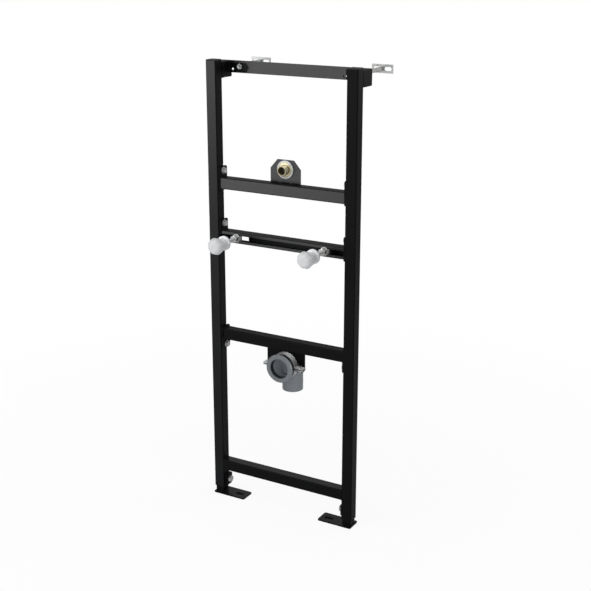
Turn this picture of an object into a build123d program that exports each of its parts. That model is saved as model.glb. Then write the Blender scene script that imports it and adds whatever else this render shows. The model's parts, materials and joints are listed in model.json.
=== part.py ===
from build123d import *
import os

# Urinal installation frame, in millimetres.
# X runs across the frame, -Y is the side the urinal hangs on, Z=0 is the floor.
# The origin is on the floor, midway between the feet, at mid-depth of the uprights.

# Overall frame
frame_height = 1200.0
frame_width = 430.0
tube = 30.0
tube_wall = 2.0
tube_corner = 3.0
cap_thick = 3.0
cap_skirt = 12.0
cap_clearance = 0.3

# Feet and telescopic legs
foot_thick = 4.0
foot_length = 98.0
foot_depth = 44.0
foot_setback = 2.0
foot_corner = 4.0
foot_slot_width = 11.0
foot_slot_length = 25.0
foot_slot_inset = 25.0
leg_show = 16.0
leg_length = 300.0
leg_wall = 2.0
leg_corner = 1.5
leg_clearance = 0.5

# Crossbars, by the height of their middle
bar = 30.0
bar_wall = 2.0
bar_setback = 6.0
inlet_bar_z = 886.0
fixing_rail_z = 746.0
waste_bar_z = 474.5
bottom_bar_z = 89.5

# End plates that bolt the crossbars to the uprights
end_plate = 4.0
end_plate_margin = 3.0
end_plate_long = 28.0
end_plate_short = 5.0
end_plate_corner = 6.0
end_bolt_offset = 17.0

# Hex bolts
bolt_r = 4.0
bolt_hole_clearance = 0.3
thread_clearance = 0.1
bolt_head_flats = 13.0
bolt_head_height = 5.5
washer_r = 9.0
washer_thick = 2.0
bolt_reach = 8.0

# Leg clamping
lock_plate_thick = 6.0
lock_plate_depth = 26.0
lock_plate_height = 34.0
lock_bolt_z = 40.0
lock_bolt_r = 5.0
lock_head_flats = 17.0
lock_head_height = 7.0
lock_tip_gap = 0.3

# Head stubs and top bar
stub_depth = 45.0
stub_height = 41.5
stub_drop = 3.5
stub_wall = 2.0
top_bar_depth = 10.0
top_bar_height = 30.0
top_bar_wall = 1.5
window_top_margin = 5.0
window_bottom_margin = 2.0
window_end_margin = 1.0
left_window_length = 58.0
right_window_length = 34.0
window_point = 8.0
hanging_hole_r = 3.0
left_hanging_hole_inset = 4.5
right_hanging_hole_inset = 40.5
hanging_hole_drop = 7.0

# Wall brackets
bracket_strip = 3.0
bracket_width = 22.0
bracket_arm_width = 11.0
bracket_inset = 7.0
bracket_reach = 135.0
bracket_flange = 58.0
bracket_slot_length = 20.0
bracket_slot_width = 10.0
bracket_slot_margin = 3.5
bracket_bend = 2.0
bracket_bolt_inset = 27.0
bracket_foot_overhang = 10.0

# Water inlet
inlet_plate_width = 87.0
inlet_plate_height = 59.0
inlet_plate_thick = 3.0
inlet_shoulder_width = 20.0
inlet_shoulder_height = 23.0
inlet_plate_y = 15.0
inlet_axis_height = 34.0
inlet_flange_r = 24.0
inlet_flange_thick = 3.0
inlet_front_r = 15.0
inlet_front_length = 17.0
inlet_tail_r = 13.0
inlet_tail_length = 25.0
inlet_bore_r = 9.3
inlet_hole_clearance = 0.5
locknut_flats = 36.0
locknut_thick = 7.0

# Fixing rail and hangers
fixing_rail_slot = 14.0
loading_window_x = -128.0
loading_window_length = 28.0
loading_window_height = 24.0
hanger_spacing = 260.0
hanger_shift = -4.0
hanger_stud_r = 5.0
hanger_stud_front = 104.0
hanger_stud_back = 20.0
hanger_washer_r = 11.0
hanger_nut_flats = 17.0
hanger_nut_height = 13.0
rail_nut = 22.0
rail_nut_thick = 8.0
sleeve_r = 14.0
sleeve_length = 36.0
sleeve_collar_r = 17.0
sleeve_collar_thick = 4.0
sleeve_clearance = 0.2
hanger_cap_r = 21.0
hanger_cap_length = 17.0
hanger_cap_dome = 6.0
hanger_cap_wall = 5.0
hanger_cap_flat = 19.4

# Waste connection
waste_axis_drop = 47.5
waste_plate_width = 114.0
waste_plate_drop = 62.0
waste_plate_thick = 3.0
waste_plate_y = 15.0
waste_plate_corner = 12.0
waste_notch_clearance = 1.5
pipe_r = 28.0
pipe_wall = 3.0
socket_front_y = -22.0
socket_r = 31.0
socket_bore_r = 27.0
socket_back_gap = 1.0
socket_bore_depth = 26.0
socket_rim_r = 39.0
socket_rim_thick = 6.0
socket_rim_front_round = 3.5
socket_rim_back_round = 1.5
elbow_bend_r = 35.0
elbow_bend_start = 16.0
spigot_length = 45.0
spigot_chamfer = 1.0
seal_bore_r = 22.0
seal_length = 12.0
seal_inset = 3.0

# Pipe clamp
clamp_clearance = 0.2
clamp_lining = 3.1
clamp_lining_overhang = 2.0
clamp_thick = 2.0
clamp_width = 18.0
clamp_ear_reach = 60.0
clamp_ear_gap = 3.0
clamp_screw_x = 48.0
clamp_screw_r = 3.0
clamp_head_flats = 10.0
clamp_head_height = 4.0
clamp_screw_end = 4.0

# Places worked out from the sizes above
sides = (("left", -1), ("right", 1))
upright_x = frame_width / 2 - tube / 2
inner_x = frame_width / 2 - tube
bracket_x = inner_x - bracket_inset
bracket_bolt_x = inner_x - bracket_bolt_inset
front_y = -tube / 2
back_y = tube / 2
upright_bottom = foot_thick + leg_show
upright_top = frame_height - cap_thick
leg = tube - 2 * tube_wall - 2 * leg_clearance
bar_y = front_y + bar_setback + bar / 2
bar_front = bar_y - bar / 2
bar_back = bar_y + bar / 2
bar_half_length = inner_x - end_plate
bolt_hole_r = bolt_r + bolt_hole_clearance
bolt_seat_x = inner_x - end_plate
stub_z = upright_top - stub_drop - stub_height / 2
stub_back = back_y + stub_depth
top_bar_front = stub_back - top_bar_depth
top_bar_z = upright_top - stub_drop - top_bar_height / 2
inlet_z = inlet_bar_z + bar / 2 + inlet_axis_height
waste_z = waste_bar_z - bar / 2 - waste_axis_drop
spigot_y = elbow_bend_start + elbow_bend_r
spigot_bottom = waste_z - elbow_bend_r - spigot_length
socket_back = waste_plate_y - socket_back_gap
head_point_r = bolt_head_flats / 3 ** 0.5

# Bolted crossbars: name, height of the middle, and which way the end plates reach
bolted_bars = (
    ("inlet_bar", inlet_bar_z, 1),
    ("fixing_rail", fixing_rail_z, 1),
    ("waste_bar", waste_bar_z, -1),
)


def bar_bolt_z(bar_z, way):
    return bar_z + way * (bar / 2 + end_bolt_offset)


def save(piece, name):
    piece.part.label = name
    export_step(piece.part, f"parts/{name}.step")


os.makedirs("parts", exist_ok=True)

# Uprights and their top caps
for side, sx in sides:
    with BuildPart() as upright:
        with BuildSketch(Plane.XY.offset(upright_bottom)):
            with Locations((sx * upright_x, 0)):
                RectangleRounded(tube, tube, tube_corner)
                tube_bore = tube - 2 * tube_wall
                RectangleRounded(tube_bore, tube_bore, tube_corner - tube_wall, mode=Mode.SUBTRACT)
        extrude(amount=upright_top - upright_bottom)
        with BuildSketch(Plane.YZ.offset(sx * inner_x)):
            for _, bar_z, way in bolted_bars:
                with Locations((bar_y, bar_bolt_z(bar_z, way))):
                    Circle(bolt_hole_r)
            with Locations((bar_y, lock_bolt_z)):
                Circle(lock_bolt_r + bolt_hole_clearance)
        extrude(amount=sx * tube_wall, mode=Mode.SUBTRACT)
    save(upright, f"{side}_upright")

    with BuildPart() as cap:
        with BuildSketch(Plane.XY.offset(upright_top)):
            with Locations((sx * upright_x, 0)):
                RectangleRounded(tube, tube, tube_corner)
        extrude(amount=cap_thick)
        fillet(cap.edges().group_by(Axis.Z)[-1], cap_thick / 2)
        with BuildSketch(Plane.XY.offset(upright_top)):
            with Locations((sx * upright_x, 0)):
                cap_plug = tube - 2 * tube_wall - 2 * cap_clearance
                RectangleRounded(cap_plug, cap_plug, tube_corner - tube_wall)
        extrude(amount=-cap_skirt)
    save(cap, f"{side}_upright_cap")

# Stubs that carry the top bar behind the uprights
for side, sx in sides:
    with BuildPart() as stub:
        with BuildSketch(Plane.XZ.offset(-back_y)):
            with Locations((sx * upright_x, stub_z)):
                RectangleRounded(tube, stub_height, tube_corner)
                RectangleRounded(
                    tube - 2 * stub_wall,
                    stub_height - 2 * stub_wall,
                    tube_corner - stub_wall,
                    mode=Mode.SUBTRACT,
                )
        extrude(amount=-stub_depth)
    save(stub, f"{side}_head_stub")

# Top bar, a flat tube with a window at each end for the heads of the bracket bolts
with BuildPart() as top_bar:
    with BuildSketch(Plane.YZ.offset(-inner_x)):
        with Locations((stub_back - top_bar_depth / 2, top_bar_z)):
            Rectangle(top_bar_depth, top_bar_height)
            Rectangle(
                top_bar_depth - 2 * top_bar_wall,
                top_bar_height - 2 * top_bar_wall,
                mode=Mode.SUBTRACT,
            )
    extrude(amount=2 * inner_x)
    window_top = top_bar_z + top_bar_height / 2 - window_top_margin
    window_bottom = top_bar_z - top_bar_height / 2 + window_bottom_margin
    window_outer = inner_x - window_end_margin
    hanging_hole_z = top_bar_z - hanging_hole_drop
    with BuildSketch(Plane.XZ.offset(-top_bar_front)):
        left_tip = -window_outer + left_window_length
        with BuildLine():
            Polyline(
                (-window_outer, window_bottom),
                (left_tip - window_point, window_bottom),
                (left_tip, (window_top + window_bottom) / 2),
                (left_tip - window_point, window_top),
                (-window_outer, window_top),
                close=True,
            )
        make_face()
        with Locations((window_outer - right_window_length / 2, (window_top + window_bottom) / 2)):
            Rectangle(right_window_length, window_top - window_bottom)
    extrude(amount=-top_bar_wall, mode=Mode.SUBTRACT)
    with BuildSketch(Plane.XZ.offset(-top_bar_front)):
        with Locations((-inner_x + left_hanging_hole_inset, hanging_hole_z)):
            Circle(hanging_hole_r)
        with Locations((inner_x - right_hanging_hole_inset, hanging_hole_z)):
            Circle(hanging_hole_r)
    extrude(amount=-top_bar_depth, mode=Mode.SUBTRACT)
    with BuildSketch(Plane.XZ.offset(-stub_back)):
        with Locations((-bracket_bolt_x, top_bar_z), (bracket_bolt_x, top_bar_z)):
            Circle(bolt_hole_r)
    extrude(amount=top_bar_wall, mode=Mode.SUBTRACT)
save(top_bar, "top_bar")

# Wall brackets: a foot bolted to the top bar, an arm to the wall and a slotted flange
bracket_bolt_seat = stub_back - top_bar_wall
for side, sx in sides:
    arm_x = sx * bracket_x
    with BuildPart() as bracket:
        with BuildSketch(Plane.XY.offset(top_bar_z - bracket_width / 2)):
            foot_inner = bracket_bolt_x - bracket_foot_overhang
            foot_outer = bracket_x + bracket_strip / 2
            with Locations((sx * (foot_inner + foot_outer) / 2, stub_back + bracket_strip / 2)):
                Rectangle(foot_outer - foot_inner, bracket_strip)
            with Locations((arm_x, stub_back + bracket_reach / 2)):
                Rectangle(bracket_strip, bracket_reach)
            with Locations((arm_x, stub_back + bracket_reach - bracket_strip / 2)):
                Rectangle(bracket_flange, bracket_strip)
        extrude(amount=bracket_width)
        strip_edges = bracket.edges().filter_by(Axis.Z)
        bend_corner = strip_edges.group_by(Axis.Y)[0].sort_by(Axis.X)[0 if sx < 0 else -1]
        fillet(bend_corner, bracket_bend)
        arm_trim = (bracket_width - bracket_arm_width) / 2
        with BuildSketch(Plane.YZ.offset(arm_x)):
            for way in (1, -1):
                trim_z = top_bar_z + way * (bracket_width - arm_trim) / 2
                with Locations((stub_back + bracket_reach / 2, trim_z)):
                    Rectangle(bracket_reach - 2 * bracket_strip, arm_trim)
        extrude(amount=bracket_strip, both=True, mode=Mode.SUBTRACT)
        with BuildSketch(Plane.XZ.offset(-stub_back)):
            with Locations((sx * bracket_bolt_x, top_bar_z)):
                Circle(bolt_hole_r)
        extrude(amount=-bracket_strip, mode=Mode.SUBTRACT)
        slot_middle = bracket_flange / 2 - bracket_slot_margin - bracket_slot_length / 2
        with BuildSketch(Plane.XZ.offset(-(stub_back + bracket_reach - bracket_strip))):
            with Locations((arm_x - slot_middle, top_bar_z), (arm_x + slot_middle, top_bar_z)):
                SlotOverall(bracket_slot_length, bracket_slot_width)
        extrude(amount=-bracket_strip, mode=Mode.SUBTRACT)
    save(bracket, f"{side}_wall_bracket")

    with BuildPart() as bracket_bolt:
        with BuildSketch(Plane.XZ.offset(-bracket_bolt_seat)):
            with Locations((sx * bracket_bolt_x, top_bar_z)):
                RegularPolygon(head_point_r, 6)
        extrude(amount=bolt_head_height)
        with BuildSketch(Plane.XZ.offset(-bracket_bolt_seat)):
            with Locations((sx * bracket_bolt_x, top_bar_z)):
                Circle(bolt_r)
        extrude(amount=-(top_bar_wall + bracket_strip + bolt_reach))
        with BuildSketch(Plane.XZ.offset(-(stub_back + bracket_strip))):
            with Locations((sx * bracket_bolt_x, top_bar_z)):
                RegularPolygon(head_point_r, 6)
        extrude(amount=-bolt_head_height)
    save(bracket_bolt, f"{side}_bracket_bolt")

# Square crossbars: two bolted between end plates, one welded straight to the uprights
for name, bar_z, middle_y, half_length in (
    ("inlet_bar", inlet_bar_z, bar_y, bar_half_length),
    ("waste_bar", waste_bar_z, bar_y, bar_half_length),
    ("bottom_bar", bottom_bar_z, 0, inner_x),
):
    with BuildPart() as crossbar:
        with BuildSketch(Plane.YZ.offset(-half_length)):
            with Locations((middle_y, bar_z)):
                RectangleRounded(bar, bar, tube_corner)
                bar_bore = bar - 2 * bar_wall
                RectangleRounded(bar_bore, bar_bore, tube_corner - bar_wall, mode=Mode.SUBTRACT)
        extrude(amount=2 * half_length)
    save(crossbar, name)

# Fixing rail, a lipped channel open to the front, with a loading window in its web
with BuildPart() as fixing_rail:
    with BuildSketch(Plane.YZ.offset(-bar_half_length)):
        with Locations((bar_y, fixing_rail_z)):
            RectangleRounded(bar, bar, tube_corner)
            Rectangle(bar - 2 * bar_wall, bar - 2 * bar_wall, mode=Mode.SUBTRACT)
        with Locations((bar_front + bar_wall / 2, fixing_rail_z)):
            Rectangle(bar_wall, fixing_rail_slot, mode=Mode.SUBTRACT)
    extrude(amount=2 * bar_half_length)
    with BuildSketch(Plane.XZ.offset(-bar_back)):
        with Locations((loading_window_x, fixing_rail_z)):
            Rectangle(loading_window_length, loading_window_height)
    extrude(amount=bar_wall, mode=Mode.SUBTRACT)
save(fixing_rail, "fixing_rail")

# End plates and bolts of the bolted crossbars
for name, bar_z, way in bolted_bars:
    plate_far = bar_z + way * (bar / 2 + end_plate_long)
    plate_near = bar_z - way * (bar / 2 + end_plate_short)
    bolt_z = bar_bolt_z(bar_z, way)

    with BuildPart() as end_plates:
        for _, sx in sides:
            with BuildSketch(Plane.YZ.offset(sx * inner_x)):
                with Locations((bar_y, (plate_far + plate_near) / 2)):
                    plate_depth = bar + 2 * end_plate_margin
                    RectangleRounded(plate_depth, abs(plate_far - plate_near), end_plate_corner)
                with Locations((bar_y, bolt_z)):
                    Circle(bolt_hole_r, mode=Mode.SUBTRACT)
            extrude(amount=-sx * end_plate)
    save(end_plates, f"{name}_end_plates")

    with BuildPart() as bolts:
        for _, sx in sides:
            with BuildSketch(Plane.YZ.offset(sx * bolt_seat_x)):
                with Locations((bar_y, bolt_z)):
                    Circle(washer_r)
            extrude(amount=-sx * washer_thick)
            with BuildSketch(Plane.YZ.offset(sx * (bolt_seat_x - washer_thick))):
                with Locations((bar_y, bolt_z)):
                    RegularPolygon(head_point_r, 6)
            extrude(amount=-sx * bolt_head_height)
            with BuildSketch(Plane.YZ.offset(sx * bolt_seat_x)):
                with Locations((bar_y, bolt_z)):
                    Circle(bolt_r)
            extrude(amount=sx * (end_plate + tube_wall + bolt_reach))
    save(bolts, f"{name}_bolts")

# Water inlet: a plate standing on the inlet bar with a threaded fitting held by a locknut
inlet_plate_bottom = inlet_bar_z + bar / 2
inlet_plate_top = inlet_plate_bottom + inlet_plate_height
with BuildPart() as inlet_plate:
    with BuildSketch(Plane.XZ.offset(-inlet_plate_y)):
        with BuildLine():
            Polyline(
                (-inlet_plate_width / 2, inlet_plate_bottom),
                (-inlet_plate_width / 2, inlet_plate_top - inlet_shoulder_height),
                (-inlet_plate_width / 2 + inlet_shoulder_width, inlet_plate_top),
                (inlet_plate_width / 2 - inlet_shoulder_width, inlet_plate_top),
                (inlet_plate_width / 2, inlet_plate_top - inlet_shoulder_height),
                (inlet_plate_width / 2, inlet_plate_bottom),
                close=True,
            )
        make_face()
        with Locations((0, inlet_z)):
            Circle(inlet_tail_r + inlet_hole_clearance, mode=Mode.SUBTRACT)
    extrude(amount=-inlet_plate_thick)
save(inlet_plate, "inlet_plate")

with BuildPart() as inlet_fitting:
    flange_front = inlet_plate_y - inlet_flange_thick
    for start_y, radius, length in (
        (flange_front, inlet_flange_r, inlet_flange_thick),
        (flange_front - inlet_front_length, inlet_front_r, inlet_front_length),
        (inlet_plate_y, inlet_tail_r, inlet_tail_length),
    ):
        with BuildSketch(Plane.XZ.offset(-start_y)):
            with Locations((0, inlet_z)):
                Circle(radius)
        extrude(amount=-length)
    fitting_length = inlet_front_length + inlet_flange_thick + inlet_tail_length
    with BuildSketch(Plane.XZ.offset(-(flange_front - inlet_front_length))):
        with Locations((0, inlet_z)):
            Circle(inlet_bore_r)
    extrude(amount=-fitting_length, mode=Mode.SUBTRACT)
save(inlet_fitting, "inlet_fitting")

with BuildPart() as inlet_locknut:
    with BuildSketch(Plane.XZ.offset(-(inlet_plate_y + inlet_plate_thick))):
        with Locations((0, inlet_z)):
            RegularPolygon(locknut_flats / 3 ** 0.5, 6)
            Circle(inlet_tail_r + thread_clearance, mode=Mode.SUBTRACT)
    extrude(amount=-locknut_thick)
save(inlet_locknut, "inlet_locknut")

# Hangers: a stud clamped in the fixing rail, with a plastic sleeve and cap
stud_tip = bar_front - hanger_stud_front
cap_back = stud_tip + hanger_cap_length - hanger_cap_wall
for side, sx in sides:
    hanger_at = (hanger_shift + sx * hanger_spacing / 2, fixing_rail_z)
    with BuildPart() as stud:
        with BuildSketch(Plane.XZ.offset(-stud_tip)):
            with Locations(hanger_at):
                Circle(hanger_stud_r)
        extrude(amount=-(hanger_stud_front + hanger_stud_back))
    save(stud, f"{side}_hanger_stud")

    with BuildPart() as nuts:
        with BuildSketch(Plane.XZ.offset(-bar_front)):
            with Locations(hanger_at):
                Circle(hanger_washer_r)
                Circle(hanger_stud_r + thread_clearance, mode=Mode.SUBTRACT)
        extrude(amount=washer_thick)
        with BuildSketch(Plane.XZ.offset(-(bar_front - washer_thick))):
            with Locations(hanger_at):
                RegularPolygon(hanger_nut_flats / 3 ** 0.5, 6)
                Circle(hanger_stud_r + thread_clearance, mode=Mode.SUBTRACT)
        extrude(amount=hanger_nut_height)
        with BuildSketch(Plane.XZ.offset(-(bar_front + bar_wall))):
            with Locations(hanger_at):
                Rectangle(rail_nut, rail_nut)
                Circle(hanger_stud_r + thread_clearance, mode=Mode.SUBTRACT)
        extrude(amount=-rail_nut_thick)
    save(nuts, f"{side}_hanger_nuts")

    with BuildPart() as sleeve:
        with BuildSketch(Plane.XZ.offset(-cap_back)):
            with Locations(hanger_at):
                Circle(sleeve_r)
                Circle(hanger_stud_r + sleeve_clearance, mode=Mode.SUBTRACT)
        extrude(amount=-sleeve_length)
        with BuildSketch(Plane.XZ.offset(-(cap_back + sleeve_length))):
            with Locations(hanger_at):
                Circle(sleeve_collar_r)
                Circle(hanger_stud_r + sleeve_clearance, mode=Mode.SUBTRACT)
        extrude(amount=sleeve_collar_thick)
    save(sleeve, f"{side}_hanger_sleeve")

    with BuildPart() as hanger_cap:
        with BuildSketch(Plane.XZ.offset(-cap_back)):
            with Locations(hanger_at):
                Circle(hanger_cap_r)
                RegularPolygon(hanger_cap_flat, 8, major_radius=False, mode=Mode.INTERSECT)
        extrude(amount=hanger_cap_length)
        fillet(hanger_cap.faces().sort_by(Axis.Y)[0].edges(), hanger_cap_dome)
        with BuildSketch(Plane.XZ.offset(-cap_back)):
            with Locations(hanger_at):
                Circle(hanger_stud_r + sleeve_clearance)
        extrude(amount=hanger_cap_length - hanger_cap_wall, mode=Mode.SUBTRACT)
    save(hanger_cap, f"{side}_hanger_cap")

# Waste connection: a notched plate under the waste bar carries the elbow in a split clamp
waste_plate_top = waste_bar_z - bar / 2
notch_r = pipe_r + waste_notch_clearance
with BuildPart() as waste_plate:
    with BuildSketch(Plane.XZ.offset(-waste_plate_y)) as waste_outline:
        with Locations((0, waste_plate_top - waste_plate_drop / 2)):
            Rectangle(waste_plate_width, waste_plate_drop)
        fillet(waste_outline.vertices().group_by(Axis.Y)[0], waste_plate_corner)
        with Locations((0, waste_z)):
            Circle(notch_r, mode=Mode.SUBTRACT)
        with Locations((0, waste_z - notch_r)):
            Rectangle(2 * notch_r, 2 * notch_r, mode=Mode.SUBTRACT)
    extrude(amount=-waste_plate_thick)
save(waste_plate, "waste_plate")

bend_axis = Axis((0, elbow_bend_start, waste_z - elbow_bend_r), (-1, 0, 0))
with BuildPart() as waste_elbow:
    with BuildSketch(Plane.XZ.offset(-socket_front_y)):
        with Locations((0, waste_z)):
            Circle(socket_rim_r)
    extrude(amount=-socket_rim_thick)
    rim_edges = waste_elbow.edges().filter_by(GeomType.CIRCLE).sort_by(Axis.Y)
    fillet(rim_edges[0], socket_rim_front_round)
    fillet(waste_elbow.faces().sort_by(Axis.Y)[-1].edges(), socket_rim_back_round)
    with BuildSketch(Plane.XZ.offset(-socket_front_y)):
        with Locations((0, waste_z)):
            Circle(socket_r)
    extrude(amount=-(socket_back - socket_front_y))
    for radius, mode in ((pipe_r, Mode.ADD), (pipe_r - pipe_wall, Mode.SUBTRACT)):
        with BuildSketch(Plane.XZ.offset(-socket_front_y)):
            with Locations((0, waste_z)):
                Circle(radius)
        extrude(amount=-(elbow_bend_start - socket_front_y), mode=mode)
        with BuildSketch(Plane.XZ.offset(-elbow_bend_start)):
            with Locations((0, waste_z)):
                Circle(radius)
        revolve(axis=bend_axis, revolution_arc=90, mode=mode)
        with BuildSketch(Plane.XY.offset(spigot_bottom)):
            with Locations((0, spigot_y)):
                Circle(radius)
        extrude(amount=spigot_length, mode=mode)
        if mode == Mode.ADD:
            chamfer(waste_elbow.edges().group_by(Axis.Z)[0], spigot_chamfer)
    with BuildSketch(Plane.XZ.offset(-socket_front_y)):
        with Locations((0, waste_z)):
            Circle(socket_bore_r)
    extrude(amount=-socket_bore_depth, mode=Mode.SUBTRACT)
save(waste_elbow, "waste_elbow")

with BuildPart() as waste_seal:
    with BuildSketch(Plane.XZ.offset(-(socket_front_y + seal_inset))):
        with Locations((0, waste_z)):
            Circle(socket_bore_r)
            Circle(seal_bore_r, mode=Mode.SUBTRACT)
    extrude(amount=-seal_length)
save(waste_seal, "waste_seal")

# Split clamp around the elbow's socket, lined with rubber and closed by two screws
lining_in_r = socket_r + clamp_clearance
lining_out_r = lining_in_r + clamp_lining
clamp_in_r = lining_out_r + clamp_clearance
clamp_out_r = clamp_in_r + clamp_thick
clamp_front = waste_plate_y - clamp_width
clamp_halves = (("upper", 1), ("lower", -1))


def half_ring(inner_r, outer_r, way):
    with Locations((0, waste_z)):
        Circle(outer_r)
        Circle(inner_r, mode=Mode.SUBTRACT)
    with Locations((0, waste_z - way * (outer_r - clamp_ear_gap / 2))):
        Rectangle(2 * outer_r, 2 * outer_r, mode=Mode.SUBTRACT)


with BuildPart() as clamp_lining_halves:
    for _, way in clamp_halves:
        with BuildSketch(Plane.XZ.offset(-(clamp_front - clamp_lining_overhang))):
            half_ring(lining_in_r, lining_out_r, way)
        extrude(amount=-(clamp_width + clamp_lining_overhang))
save(clamp_lining_halves, "pipe_clamp_lining")

for half, way in clamp_halves:
    with BuildPart() as clamp_half:
        with BuildSketch(Plane.XZ.offset(-clamp_front)):
            ear_z = waste_z + way * (clamp_ear_gap + clamp_thick) / 2
            with Locations((0, ear_z)):
                Rectangle(2 * clamp_ear_reach, clamp_thick)
            half_ring(clamp_in_r, clamp_out_r, way)
        extrude(amount=-clamp_width)
        with BuildSketch(Plane.XY.offset(ear_z)):
            with GridLocations(2 * clamp_screw_x, 1, 2, 1):
                with Locations((0, waste_plate_y - clamp_width / 2)):
                    Circle(clamp_screw_r + bolt_hole_clearance)
        extrude(amount=clamp_thick, both=True, mode=Mode.SUBTRACT)
    save(clamp_half, f"pipe_clamp_{half}")

with BuildPart() as clamp_screws:
    ear_top = waste_z + clamp_ear_gap / 2 + clamp_thick
    ear_bottom = waste_z - clamp_ear_gap / 2 - clamp_thick
    screw_y = waste_plate_y - clamp_width / 2
    with BuildSketch(Plane.XY.offset(ear_top)):
        with Locations((-clamp_screw_x, screw_y), (clamp_screw_x, screw_y)):
            RegularPolygon(clamp_head_flats / 3 ** 0.5, 6)
    extrude(amount=clamp_head_height)
    with BuildSketch(Plane.XY.offset(ear_bottom)):
        with Locations((-clamp_screw_x, screw_y), (clamp_screw_x, screw_y)):
            RegularPolygon(clamp_head_flats / 3 ** 0.5, 6)
    extrude(amount=-clamp_head_height)
    with BuildSketch(Plane.XY.offset(ear_bottom - clamp_head_height - clamp_screw_end)):
        with Locations((-clamp_screw_x, screw_y), (clamp_screw_x, screw_y)):
            Circle(clamp_screw_r)
    extrude(amount=ear_top - ear_bottom + clamp_head_height + clamp_screw_end)
save(clamp_screws, "pipe_clamp_screws")

# Threaded plates on the uprights and the bolts that clamp the legs
with BuildPart() as lock_plates:
    for _, sx in sides:
        with BuildSketch(Plane.YZ.offset(sx * inner_x)):
            with Locations((bar_y, lock_bolt_z)):
                RectangleRounded(lock_plate_depth, lock_plate_height, end_plate_corner)
                Circle(lock_bolt_r + thread_clearance, mode=Mode.SUBTRACT)
        extrude(amount=-sx * lock_plate_thick)
save(lock_plates, "leg_lock_plates")

with BuildPart() as lock_bolts:
    lock_seat_x = inner_x - lock_plate_thick
    leg_face_x = upright_x - leg / 2
    for _, sx in sides:
        with BuildSketch(Plane.YZ.offset(sx * lock_seat_x)):
            with Locations((bar_y, lock_bolt_z)):
                RegularPolygon(lock_head_flats / 3 ** 0.5, 6)
        extrude(amount=-sx * lock_head_height)
        with BuildSketch(Plane.YZ.offset(sx * lock_seat_x)):
            with Locations((bar_y, lock_bolt_z)):
                Circle(lock_bolt_r)
        extrude(amount=sx * (leg_face_x - lock_tip_gap - lock_seat_x))
save(lock_bolts, "leg_lock_bolts")

# Legs that slide in the uprights, each welded to a slotted foot plate
for side, sx in sides:
    with BuildPart() as leg_tube:
        with BuildSketch(Plane.XY.offset(foot_thick)):
            with Locations((sx * upright_x, 0)):
                RectangleRounded(leg, leg, leg_corner)
                Rectangle(leg - 2 * leg_wall, leg - 2 * leg_wall, mode=Mode.SUBTRACT)
        extrude(amount=leg_length)
    save(leg_tube, f"{side}_leg")

    with BuildPart() as foot:
        with BuildSketch():
            foot_middle = sx * (frame_width / 2 - foot_length / 2)
            with Locations((foot_middle, foot_setback)):
                RectangleRounded(foot_length, foot_depth, foot_corner)
            with Locations((sx * (frame_width / 2 - foot_length + foot_slot_inset), 0)):
                SlotOverall(foot_slot_length, foot_slot_width, mode=Mode.SUBTRACT)
        extrude(amount=foot_thick)
    save(foot, f"{side}_foot")
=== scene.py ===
import json
import math
import bmesh
import bpy
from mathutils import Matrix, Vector


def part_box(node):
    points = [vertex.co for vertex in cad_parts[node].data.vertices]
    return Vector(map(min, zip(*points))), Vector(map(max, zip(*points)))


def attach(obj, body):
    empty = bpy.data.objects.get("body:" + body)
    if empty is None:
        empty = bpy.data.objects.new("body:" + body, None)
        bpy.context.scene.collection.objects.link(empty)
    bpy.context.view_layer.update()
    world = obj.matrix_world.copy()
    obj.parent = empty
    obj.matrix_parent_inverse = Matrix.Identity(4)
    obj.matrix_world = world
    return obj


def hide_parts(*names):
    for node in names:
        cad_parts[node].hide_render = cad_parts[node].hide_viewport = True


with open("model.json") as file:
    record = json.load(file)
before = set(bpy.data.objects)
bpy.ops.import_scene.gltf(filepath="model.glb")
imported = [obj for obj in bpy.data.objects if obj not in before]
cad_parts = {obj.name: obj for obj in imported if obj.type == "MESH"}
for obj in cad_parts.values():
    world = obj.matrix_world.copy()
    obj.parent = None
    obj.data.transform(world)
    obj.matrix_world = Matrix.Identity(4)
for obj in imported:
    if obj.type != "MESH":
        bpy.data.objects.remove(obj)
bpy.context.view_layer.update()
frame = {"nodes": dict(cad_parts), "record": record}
nodes = frame["nodes"]
mm = 0.001
print("frame loaded:", len(nodes), "nodes")


# shader sums are written as Python: a Wire is one output of a node
class Wire:
    def __init__(self, finish, socket):
        self.finish = finish
        self.socket = socket

    def math(self, operation, first, second):
        return self.finish.node("ShaderNodeMath", {"operation": operation}, {0: first, 1: second})

    def __add__(self, other):
        return self.math("ADD", self, other)

    def __radd__(self, other):
        return self.math("ADD", other, self)

    def __sub__(self, other):
        return self.math("SUBTRACT", self, other)

    def __rsub__(self, other):
        return self.math("SUBTRACT", other, self)

    def __mul__(self, other):
        return self.math("MULTIPLY", self, other)

    def __rmul__(self, other):
        return self.math("MULTIPLY", other, self)

    def clamp(self):
        return self.finish.node("ShaderNodeClamp", {}, {0: self, 1: 0.0, 2: 1.0})


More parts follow.
